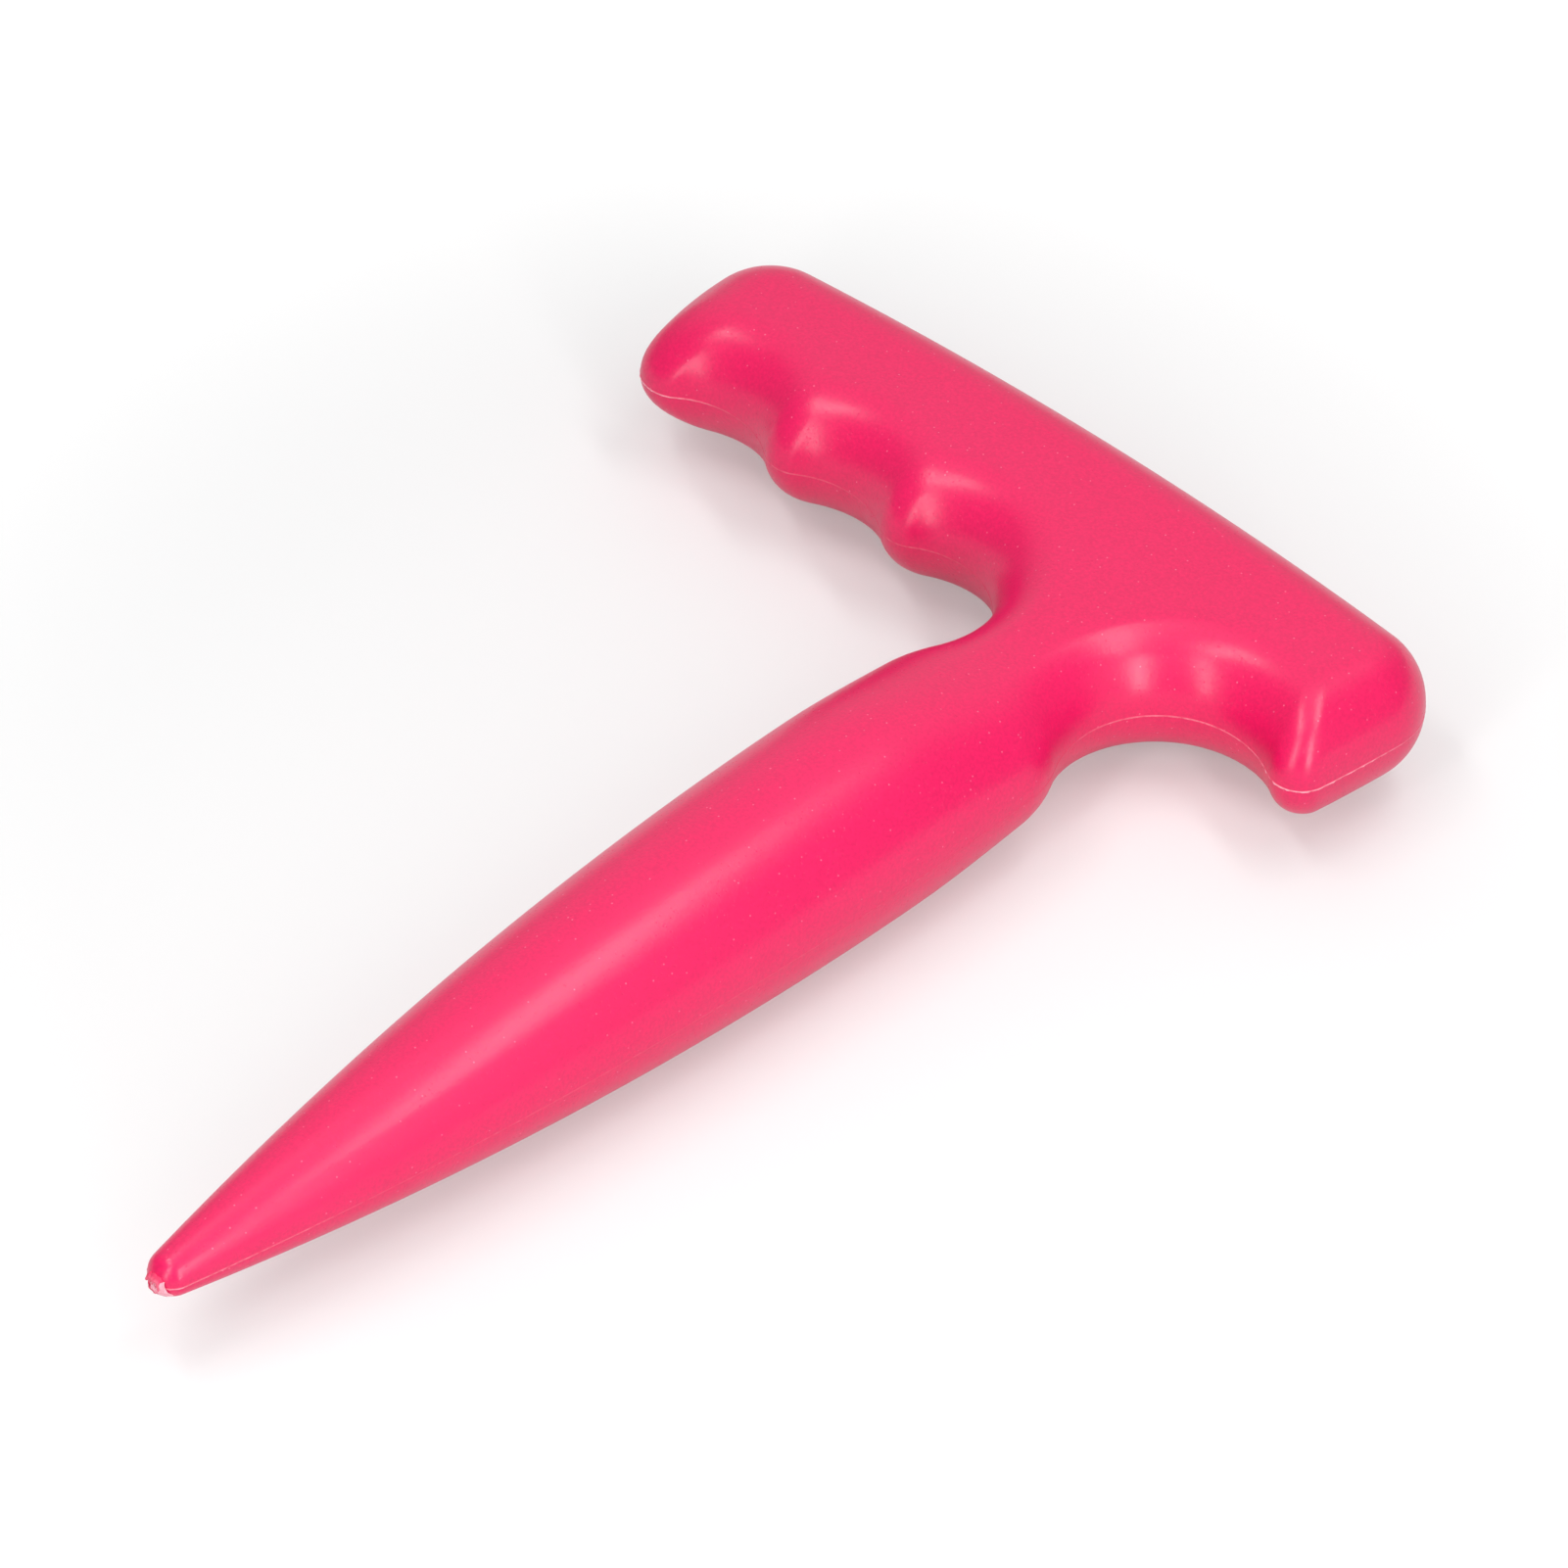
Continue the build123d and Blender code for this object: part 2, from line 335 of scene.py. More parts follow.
class MeshSketch:
    """Vertices and faces collected for one piece, in mm in mould coordinates."""

    weld_decimals: int = 3  # vertices that agree to this many decimals of a mm are one
    fill_clearance: float = 0.7  # share of the spacing that a fill's own vertices keep from its rim
    fairing_pulls: tuple[float, float] = (0.5, -0.51)  # in, then back out, so that the form doesn't shrink

    def __init__(self) -> None:
        """Starts with nothing."""
        self.places: list[np.ndarray] = []
        self.looseness: list[np.ndarray] = []
        self.drawn: list[np.ndarray] = []
        self.faces: list[list[int]] = []
        self.count = 0

    def points(
        self, places: np.ndarray, loose: np.ndarray | float = 0.0, drawn: np.ndarray | float = 0.0
    ) -> np.ndarray:
        """Adds vertices.

        Args:
            places: Array of any shape whose last axis is x, y, z.
            loose: How freely fairing may move them, from 0 to 1.
            drawn: How far the plastic was stretched there, from 0 to 1.

        Returns:
            Their numbers, in the same shape without the last axis.
        """
        flat = places.reshape(-1, 3)
        numbers = np.arange(self.count, self.count + len(flat)).reshape(places.shape[:-1])
        self.places.append(flat)
        self.looseness.append(np.broadcast_to(loose, numbers.shape).reshape(-1))
        self.drawn.append(np.broadcast_to(drawn, numbers.shape).reshape(-1))
        self.count += len(flat)
        return numbers

    def face(self, corners: Iterable[int]) -> None:
        """Adds one face of any count of corners."""
        self.faces.append([int(corner) for corner in corners])

    def strip(self, near: np.ndarray, far: np.ndarray) -> None:
        """Joins two rows of equally many vertices with quads."""
        for corners in zip(near[:-1], near[1:], far[1:], far[:-1]):
            self.face(corners)

    def sheet(self, grid: np.ndarray) -> None:
        """Joins the rows of a grid of vertices."""
        for near, far in zip(grid[:-1], grid[1:]):
            self.strip(near, far)

    def fill(self, loop: np.ndarray, spacing: float, looseness: Callable[[np.ndarray], np.ndarray]) -> None:
        """Fills a flat loop with triangles and vertices of its own.

        Args:
            loop: Numbers of the loop's vertices, in order, all at one height.
            spacing: Distance between the new vertices.
            looseness: Tells how freely fairing may move vertices, from their places.
        """
        rim = np.concatenate(self.places)[loop]
        start = rim[:, :2]
        step = np.roll(start, -1, axis=0) - start
        columns, rows = (np.arange(line.min(), line.max(), spacing) for line in start.T)
        spots = np.stack(np.meshgrid(columns, rows), axis=-1).reshape(-1, 2)

        # A spot is inside where a line from it towards +X crosses the rim an odd number of times
        level = spots[:, 1, None]
        spans = (start[:, 1] > level) != (np.roll(start[:, 1], -1) > level)
        with np.errstate(divide="ignore", invalid="ignore"):
            crossing = start[:, 0] + (level - start[:, 1]) * step[:, 0] / step[:, 1]
        inside = np.sum(spans & (spots[:, 0, None] < crossing), axis=1) % 2 == 1
        near = np.linalg.norm(spots[:, None] - start, axis=2).min(axis=1)
        spots = spots[inside & (near > self.fill_clearance * spacing)]

        places = np.column_stack([spots, np.full(len(spots), rim[0, 2])])
        numbers = np.concatenate([loop, self.points(places, looseness(places))])
        flat = [Vector(place) for place in np.concatenate([start, spots])]
        outline = [list(range(len(loop)))]
        _, _, triangles, sources, _, _ = geometry.delaunay_2d_cdt(flat, [], outline, INSIDE_ONLY, TINY)
        for triangle in triangles:
            self.face(numbers[[sources[corner][0] for corner in triangle]])

    def weld(self) -> tuple[np.ndarray, list[list[int]]]:
        """Joins coincident vertices.

        Returns:
            Numbers of the vertices that stay, and the faces in terms of them.
        """
        rounded = np.round(np.concatenate(self.places), self.weld_decimals)
        _, first, joined = np.unique(rounded, axis=0, return_index=True, return_inverse=True)
        kept = np.sort(first)
        joined = np.searchsorted(kept, first[joined.reshape(-1)])
        faces = []
        for face in self.faces:
            corners = list(dict.fromkeys(int(joined[corner]) for corner in face))
            if len(corners) > 2:
                faces.append(corners)
        return kept, faces

    def fair(self, places: np.ndarray, loose: np.ndarray, faces: list[list[int]], rounds: int) -> np.ndarray:
        """Draws loose vertices towards the middle of their neighbours.

        Args:
            places: Places of the welded vertices.
            loose: How freely each may move, from 0 to 1.
            faces: The welded faces.
            rounds: How often they are drawn.

        Returns:
            The new places.
        """
        pairs = {(min(pair), max(pair)) for face in faces for pair in zip(face, face[1:] + face[:1])}
        edges = np.array(sorted(pairs))
        start, end = np.concatenate([edges, edges[:, ::-1]]).T
        degree = np.bincount(start, minlength=len(places))[:, None]
        for _ in range(rounds):
            for pull in self.fairing_pulls:
                total = np.column_stack([np.bincount(start, line, len(places)) for line in places[end].T])
                places = places + pull * loose[:, None] * (total / degree - places)
        return places

    def piece(self, name: str, origin: np.ndarray, sharp_degrees: float, rounds: int = 0) -> bpy.types.Object:
        """Makes the object, with coincident vertices welded, loose ones faired and faces turned outwards.

        Args:
            name: Name of the piece.
            origin: Where the mould coordinates' origin lies in the frame, in mm.
            sharp_degrees: Edges that turn by more stay crisp.
            rounds: How often the loose vertices are faired.

        Returns:
            The new object, linked to the scene.
        """
        kept, faces = self.weld()
        values = (self.places, self.looseness, self.drawn)
        places, loose, drawn = (np.concatenate(value)[kept] for value in values)
        places = self.fair(places, loose, faces, rounds)
        mesh = bpy.data.meshes.new(name)
        mesh.from_pydata(((places + origin) * MM).tolist(), [], faces)
        work = bmesh.new()
        work.from_mesh(mesh)
        bmesh.ops.recalc_face_normals(work, faces=work.faces)
        work.to_mesh(mesh)
        work.free()
        mesh.attributes.new(DRAWN, "FLOAT", "POINT").data.foreach_set("value", drawn.astype(np.float32))
        mesh.shade_smooth()
        mesh.set_sharp_from_angle(angle=math.radians(sharp_degrees))
        thing = bpy.data.objects.new(name, mesh)
        bpy.context.scene.collection.objects.link(thing)
        return thing


@dataclass(frozen=True)
class Stretch:
    """One round stretch of the outline, with its start and without its end."""

    place: Place
    points: np.ndarray


def plan_point(x: float, y: float) -> np.ndarray:
    """Makes a point of the parting plane."""
    return np.array([x, y], dtype=float)


def towards(start: np.ndarray, end: np.ndarray, length: float) -> np.ndarray:
    """Gives the point at a length from start on the way to end."""
    return start + (end - start) / np.linalg.norm(end - start) * length


def meet(first: np.ndarray, first_radius: float, second: np.ndarray, second_radius: float) -> np.ndarray:
    """Finds where two circles meet.

    Args:
        first: Centre of the first circle.
        first_radius: Its radius.
        second: Centre of the second circle.
        second_radius: Its radius.

    Returns:
        The meeting point on the left of the way from the first centre to the second.
    """
    gap = np.linalg.norm(second - first)
    way = (second - first) / gap
    along = (first_radius**2 - second_radius**2 + gap**2) / (2 * gap)
    return first + way * along + plan_point(-way[1], way[0]) * math.sqrt(first_radius**2 - along**2)


def meet_line(centre: np.ndarray, radius: float, point: np.ndarray, way: np.ndarray) -> np.ndarray:
    """Finds where a circle meets a line.

    Args:
        centre: Centre of the circle.
        radius: Its radius.
        point: A point of the line.
        way: The line's direction, of length 1.

    Returns:
        The meeting point farther along the line's way.
    """
    foot = point + way * np.dot(centre - point, way)
    return foot + way * math.sqrt(radius**2 - np.sum((centre - foot) ** 2))


def bend(place: Place, centre: np.ndarray, start: np.ndarray, end: np.ndarray, count: int) -> Stretch:
    """Samples an arc of less than half a turn.

    Args:
        place: What the arc belongs to.
        centre: Its centre.
        start: Where it starts.
        end: Where it ends.
        count: How many points it gets, without its end.

    Returns:
        The sampled stretch.
    """
    first = math.atan2(*(start - centre)[::-1])
    turn = (math.atan2(*(end - centre)[::-1]) - first + math.pi) % math.tau - math.pi
    angles = first + turn * np.arange(count) / count
    ways = np.stack([np.cos(angles), np.sin(angles)], axis=1)
    return Stretch(place, centre + np.linalg.norm(start - centre) * ways)


def in_a_row(stretches: list[Stretch]) -> np.ndarray:
    """Gives the points of all stretches in one row."""
    return np.concatenate([stretch.points for stretch in stretches])


def eased(values: np.ndarray, reach: int) -> np.ndarray:
    """Averages each value with its neighbours, up to reach places away on both sides."""
    window = 2 * reach + 1
    return np.convolve(np.pad(values, reach, mode="edge"), np.ones(window) / window, mode="valid")


def smooth(share: np.ndarray) -> np.ndarray:
    """Makes a share from 0 to 1 start and end gently."""
    return share**2 * (3 - 2 * share)


@dataclass(frozen=True)
class MouldPlan:
    """Sizes of the moulding in mm and degrees, and the outlines that follow from them."""

    overall_length: float = 250.0
    wall: float = 2.0
    solid_tip: float = 19.0  # length of the point that is filled with plastic

    # Handle: each end is measured from its arm's last groove, at end_height below the palm edge
    handle_thickness: float = 26.0
    edge_roll: float = 11.8  # how far the rounded edge reaches in from the outline to the flat
    palm_radius: float = 730.0
    palm_crest_x: float = -11.5
    palm_corner: float = 14.0
    long_end: float = 24.3
    short_end: float = 19.8
    end_height: float = 20.0
    end_lean: float = 7.0
    long_end_radius: float = 60.0  # bows of the two ends
    short_end_radius: float = 300.0
    long_end_sink: float = 0.5  # how far in the long end lies besides, half-way through its rounded edge
    long_lobe_radius: float = 6.9
    short_lobe_radius: float = 5.6
    long_swell: float = 8.0  # the long arm's lobe is rounder between seam and flat, by 4/27 of this at most
    lobe_power: float = 0.65  # under 1, the lobes tighten to ridges soon after the seam
    flat_corner: float = 2.0  # roundings at the flat, then the long arm's own two
    long_flat_corner: float = 3.0
    long_flat_lobe: float = 4.6

    # Finger grooves
    finger_pitch: float = 28.2
    inner_pitch: float = 26.4
    groove_radius: float = 17.5
    groove_drop: float = 37.2
    inner_groove_radius: float = 16.5
    short_groove_radius: float = 18.1
    stop_radius: float = 6.4
    scoop_power: float = 1.06  # over 1, a groove's wall stands straighter than a round edge
    scoop_rest: int = 6  # stations beside the neck where the edge stays round
    ease_reach: int = 8  # stations over which one form runs into the next

    # Neck and shaft
    neck_drop: float = 53.3
    neck_width: float = 27.4
    neck_sweep: float = 19.8
    neck_blend: float = 36.0  # distance from the neck at which its fairing ends
    neck_hold: float = 1.5  # over 1, the fairing stays full for some way from the neck
    crest_fade: float = 34.0  # length over which the handle's flat runs out on the shaft
    shoulder_radius: float = 18.1
    belly_drop: float = 94.4
    belly_width: float = 37.6
    belly_flattening: float = 1.5  # how much thinner than wide the belly is
    tip_radius: float = 4.0
    neck_points: int = 10  # stations along each stretch of the shaft
    shoulder_points: int = 14
    taper_points: int = 44
    tip_points: int = 10

    # Parting seam and torn tail
    seam_thickness: float = 0.4
    flash_height: float = 0.25
    bead_depth: float = 1.0
    tail_length: float = 1.2
    tail_width: float = 3.6

    @property
    def neck_half(self) -> float:
        """Half the neck's width."""
        return self.neck_width / 2

    @property
    def neck_y(self) -> float:
        """Height of the neck's narrowest place."""
        return -self.neck_drop

    @property
    def point_y(self) -> float:
        """Height of the point's end face."""
        return self.tail_length - self.overall_length

    @property
    def hollow_end_y(self) -> float:
        """Height where the hollow ends."""
        return self.solid_tip - self.overall_length

    @property
    def tip_centre(self) -> np.ndarray:
        """Centre of the point's rounding."""
        return plan_point(0.0, self.point_y + math.sqrt(self.tip_radius**2 - (self.tail_width / 2) ** 2))

    def handle(self, inset: float) -> list[Stretch]:
        """Draws the handle's outline from the right of the neck round the palm to its left.

        Args:
            inset: How far the outline is drawn in.

        Returns:
            The stretches in order.
        """
        share = inset / self.edge_roll
        tight = share**self.lobe_power
        swell = self.long_swell * share * (1 - share) ** 2
        right_round = self.palm_corner + (self.flat_corner - self.palm_corner) * share
        left_round = self.palm_corner + (self.long_flat_corner - self.palm_corner) * share
        long_lobe = self.long_lobe_radius + (self.long_flat_lobe - self.long_lobe_radius) * tight + swell
        short_lobe = self.short_lobe_radius + (self.flat_corner - self.short_lobe_radius) * tight
        palm = self.palm_radius - inset
        short_groove = self.short_groove_radius + inset
        inner_groove = self.inner_groove_radius + inset
        groove = self.groove_radius + inset
        stop = self.stop_radius
        long_bow = self.long_end_radius - inset
        short_bow = self.short_end_radius - inset
        sink = inset + 4 * self.long_end_sink * share * (1 - share)  # deepest at a share of a half

        # Centres of the hollows, the palm's bow and the two ends, which lean outwards towards the palm
        palm_centre = plan_point(self.palm_crest_x, -self.palm_radius)
        short_centre = plan_point(self.neck_half + self.short_groove_radius, self.neck_y)
        inner_centre = plan_point(-self.neck_half - self.inner_groove_radius, self.neck_y)
        middle_centre = plan_point(inner_centre[0] - self.inner_pitch, -self.groove_drop - self.groove_radius)
        outer_centre = middle_centre - plan_point(self.finger_pitch, 0.0)
        lean = math.radians(self.end_lean)
        right_way = plan_point(math.sin(lean), math.cos(lean))
        left_way = plan_point(-math.sin(lean), math.cos(lean))
        right_in = plan_point(-math.cos(lean), math.sin(lean))
        left_in = plan_point(math.cos(lean), math.sin(lean))
        right_end = plan_point(short_centre[0] + self.short_end, -self.end_height) + right_in * inset
        left_end = plan_point(outer_centre[0] - self.long_end, -self.end_height) + left_in * sink

        # Centres of the swells, each tangent to its neighbours
        short_reach = short_groove + short_lobe
        right_lobe = meet_line(short_centre, short_reach, right_end + right_in * short_lobe, right_way)
        palm_reach = palm - right_round
        right_corner = meet_line(palm_centre, palm_reach, right_end + right_in * right_round, right_way)
        left_corner = meet_line(palm_centre, palm - left_round, left_end + left_in * left_round, left_way)
        left_lobe = meet_line(outer_centre, groove + long_lobe, left_end + left_in * long_lobe, left_way)
        right_bow = meet(right_lobe, short_bow - short_lobe, right_corner, short_bow - right_round)
        left_bow = meet(left_corner, long_bow - left_round, left_lobe, long_bow - long_lobe)
        outer_stop = meet(outer_centre, groove + stop, middle_centre, groove + stop)
        inner_stop = meet(middle_centre, groove + stop, inner_centre, inner_groove + stop)

        # Places where neighbours touch, in order from the neck's right
        touches = [
            plan_point(self.neck_half - inset, self.neck_y),
            towards(short_centre, right_lobe, short_groove),
            towards(right_bow, right_lobe, short_bow),
            towards(right_bow, right_corner, short_bow),
            towards(palm_centre, right_corner, palm),
            towards(palm_centre, left_corner, palm),
            towards(left_bow, left_corner, long_bow),
            towards(left_bow, left_lobe, long_bow),
            towards(outer_centre, left_lobe, groove),
            towards(outer_centre, outer_stop, groove),
            towards(middle_centre, outer_stop, groove),
            towards(middle_centre, inner_stop, groove),
            towards(inner_centre, inner_stop, inner_groove),
            plan_point(-self.neck_half + inset, self.neck_y),
        ]

        # What lies between them: its place, its centre and how many points it gets
        courses = [
            (Place.SHORT_GROOVE, short_centre, 26), (Place.LOBE, right_lobe, 22), (Place.END, right_bow, 8),
            (Place.CORNER, right_corner, 18), (Place.PALM, palm_centre, 44), (Place.CORNER, left_corner, 18),
            (Place.END, left_bow, 8), (Place.LOBE, left_lobe, 22), (Place.GROOVE, outer_centre, 16),
            (Place.STOP, outer_stop, 14), (Place.GROOVE, middle_centre, 16), (Place.STOP, inner_stop, 14),
            (Place.GROOVE, inner_centre, 26),
        ]
        return [
            bend(place, centre, start, end, count)
            for (place, centre, count), start, end in zip(courses, touches, touches[1:])
        ]

    def flank(self, inset: float, stop_y: float) -> list[Stretch]:
        """Draws the shaft's right-hand outline from the neck down.

        Args:
            inset: How far the outline is drawn in.
            stop_y: Height where it ends.

        Returns:
            The stretches in order, with as many points wherever it ends.
        """
        belly = plan_point(self.belly_width / 2, -self.belly_drop)
        drop = belly[1] - self.tip_centre[1]
        full = (belly[0] ** 2 + drop**2 - self.tip_radius**2) / (2 * (belly[0] - self.tip_radius))
        taper_centre = belly - plan_point(full, 0.0)
        taper = full - inset
        tip = self.tip_radius - inset
        sweep = self.neck_sweep + inset
        shoulder = self.shoulder_radius - inset
        sweep_centre = plan_point(self.neck_half + self.neck_sweep, self.neck_y)
        shoulder_centre = meet(sweep_centre, sweep + shoulder, taper_centre, taper - shoulder)

        neck = plan_point(self.neck_half - inset, self.neck_y)
        shoulder_start = towards(sweep_centre, shoulder_centre, sweep)
        taper_start = towards(taper_centre, shoulder_centre, taper)
        stretches = [
            bend(Place.NECK, sweep_centre, neck, shoulder_start, self.neck_points),
            bend(Place.SHAFT, shoulder_centre, shoulder_start, taper_start, self.shoulder_points),
        ]
        if stop_y > self.tip_centre[1]:
            reach = math.sqrt(taper**2 - (stop_y - taper_centre[1]) ** 2)
            taper_end = plan_point(taper_centre[0] + reach, stop_y)
            count = self.taper_points + self.tip_points
            return stretches + [
                bend(Place.SHAFT, taper_centre, taper_start, taper_end, count),
                Stretch(Place.SHAFT, taper_end[None]),
            ]
        taper_end = towards(taper_centre, self.tip_centre, taper)
        tip_end = plan_point(math.sqrt(tip**2 - (self.tip_centre[1] - stop_y) ** 2), stop_y)
        return stretches + [
            bend(Place.SHAFT, taper_centre, taper_start, taper_end, self.taper_points),
            bend(Place.POINT, self.tip_centre, taper_end, tip_end, self.tip_points),
            Stretch(Place.POINT, tip_end[None]),
        ]

    def crest_half(self, y: np.ndarray) -> np.ndarray:
        """Gives half the width of the handle's flat where it runs out on the shaft, at heights y."""
        share = np.clip(1 + (y - self.neck_y) / self.crest_fade, 0, 1)
        return (self.neck_half - self.edge_roll) * smooth(share)

    def half_height(self, flank: np.ndarray, inset: float) -> np.ndarray:
        """Works out half the shaft's thickness.

        Args:
            flank: Places of the shaft's outline.
            inset: How far that outline was drawn in.

        Returns:
            Half the thickness at each place.
        """
        share = (self.neck_y - flank[:, 1]) / (self.belly_drop - self.neck_drop)
        neck, belly = self.handle_thickness / 2, (self.belly_width - self.belly_flattening) / 2
        swell = neck + (belly - neck) * smooth(share)
        taper = (flank[:, 0] + inset) * belly / (self.belly_width / 2)
        return np.where(share < 1, swell, taper) - inset

    def nearness(self, places: np.ndarray) -> np.ndarray:
        """Tells how near places lie to the neck, from 1 there to 0 at neck_blend from it."""
        away = np.hypot(places[..., 0], places[..., 1] - self.neck_y) / self.neck_blend
        return np.clip(self.neck_hold * (1 - away), 0, 1)

    def scooped(self) -> np.ndarray:
        """Tells where the handle has the straighter wall of a scooped finger groove.

        Returns:
            A share from 0 to 1 for each station of the handle's outline.
        """
        scoops = (Place.GROOVE, Place.SHORT_GROOVE, Place.STOP)
        runs = [np.full(len(run.points), float(run.place in scoops)) for run in self.handle(0.0)]
        share = np.concatenate(runs)
        share[:self.scoop_rest] = share[-self.scoop_rest:] = 0.0
        return eased(share, self.ease_reach)

    def parting_line(self) -> tuple[np.ndarray, list[Place]]:
        """Draws the whole parting line.

        Returns:
            Its points from the point up the right, round the handle and down the left, and each one's place.
        """
        right = [(point, run.place) for run in self.flank(0.0, self.point_y) for point in run.points]
        left = [(point * plan_point(-1, 1), place) for point, place in right]
        middle = [(point, run.place) for run in self.handle(0.0) for point in run.points]
        whole = right[::-1][:-1] + middle + left
        return np.array([point for point, _ in whole]), [place for _, place in whole]


@dataclass(frozen=True)
class MouldedPiece(ABC):
    """A piece of the moulding, which stands for one node of the frame."""

    plan: MouldPlan
    node: str
    slot: str
    finish: BlownPolyethylene | StretchedPolyethylene

    @abstractmethod
    def build(self, origin: np.ndarray) -> bpy.types.Object:
        """Builds the piece, with the mould coordinates' origin at a place of the frame in mm."""

    def dress(self, piece: bpy.types.Object) -> None:
        """Gives the piece its finish, hides its node's imported part and hangs the piece under the body.

        Args:
            piece: What build gave.
        """
        piece.data.materials.append(self.finish.material())
        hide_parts(self.node)
        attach(piece, BODY)


@dataclass(frozen=True)
class HalfShell(MouldedPiece):
    """One half of the blown wall: outer skin, inner skin and the rim between them at the parting plane."""

    half: Half
    levels: int = 20
    loose_level: int = 10  # level at which fairing may move the skin freely; at the seam it is held
    fill_spacing: float = 2.5
    rounds: int = 80
    sharp_degrees: float = 50.0

    def skin(self, inset: float, stop_y: float) -> np.ndarray:
        """Works out one skin of the half as a grid.

        Args:
            inset: How far the skin lies inside the outer surface.
            stop_y: Height where its shaft ends.

        Returns:
            Points by level, from the parting plane to the flat, and by station along the outline.
        """
        plan = self.plan
        gap = plan.seam_thickness / 2
        flank = in_a_row(plan.flank(inset, stop_y))
        crest = plan.crest_half(flank[:, 1])
        height = plan.half_height(flank, inset)
        scooped = plan.scooped()[:, None]
        rows = []
        for step in range(self.levels + 1):
            angle = math.pi / 2 * step / self.levels
            across, up = math.cos(angle), math.sin(angle)
            round_edge = self.handle_level(inset, across, up)
            scooped_edge = self.handle_level(inset, across**plan.scoop_power, up**plan.scoop_power)
            handle = round_edge + (scooped_edge - round_edge) * scooped
            out = crest + (flank[:, 0] - crest) * across
            right = np.column_stack([out, flank[:, 1], gap + (height - gap) * up])
            left = right * np.array([-1, 1, 1])
            rows.append(np.concatenate([right[::-1][:-1], handle, left]))
        return np.array(rows) * np.array([1, 1, self.half.value])

    def handle_level(self, inset: float, across: float, up: float) -> np.ndarray:
        """Works out one level of the handle's rounded edge.

        Args:
            inset: How far the skin lies inside the outer surface.
            across: Share of the edge's roll that is left, from 1 at the parting plane to 0 at the flat.
            up: Share of the height, from 0 to 1.

        Returns:
            The level's points by station.
        """
        plan = self.plan
        gap = plan.seam_thickness / 2
        rim = in_a_row(plan.handle(inset + (plan.edge_roll - inset) * (1 - across)))
        return np.column_stack([rim, np.full(len(rim), gap + (plan.handle_thickness / 2 - inset - gap) * up)])

    def close(self, sketch: MeshSketch, grid: np.ndarray, places: np.ndarray) -> None:
        """Fills a skin's flat, its crest along the shaft and its end.

        Args:
            sketch: The sketch that holds the skin.
            grid: Vertex numbers by level and station.
            places: The skin's points, in the same order.
        """
        top = grid[-1]
        last = len(top) - 1
        neck = int(np.argmax(places[-1, :, 1] > self.plan.neck_y - TINY))
        sketch.fill(top[neck:last - neck + 1], self.fill_spacing, self.plan.nearness)
        for station in range(neck):
            if max(places[-1, station:station + 2, 0]) > TINY:
                sketch.face(top[[station, station + 1, last - station - 1, last - station]])
        sketch.face(np.concatenate([grid[:, 0], grid[::-1, last]]))

    def build(self, origin: np.ndarray) -> bpy.types.Object:
        """Builds the closed half shell.

        Args:
            origin: Where the mould coordinates' origin lies in the frame, in mm.

        Returns:
            The new piece.
        """
        sketch = MeshSketch()
        free = np.clip(np.arange(self.levels + 1) / self.loose_level, 0, 1)[:, None]
        rims = []
        for inset, stop_y in ((0.0, self.plan.point_y), (self.plan.wall, self.plan.hollow_end_y)):
            places = self.skin(inset, stop_y)
            grid = sketch.points(places, free * self.plan.nearness(places))
            sketch.sheet(grid)
            self.close(sketch, grid, places)
            rims.append(grid[0])
        outer, inner = rims
        sketch.strip(outer, inner)
        sketch.face([outer[0], inner[0], inner[-1], outer[-1]])
        return sketch.piece(f"{self.node}_moulded", origin, self.sharp_degrees, self.rounds)


@dataclass(frozen=True)
class Raggedness:
    """Fractal noise for the uneven edge or face that a blade or a tear leaves in plastic."""

    level: float  # where the noise is sliced, so that no two edges repeat each other
    weakening: float  # how fast its finer octaves weaken
    refining: float  # how much finer each octave is than the one before
    octaves: int

    def at(self, x: float, y: float) -> float:
        """Gives the unevenness, about 0 on average, at a place counted in bumps."""
        return noise.fractal((x, y, self.level), self.weakening, self.refining, self.octaves)


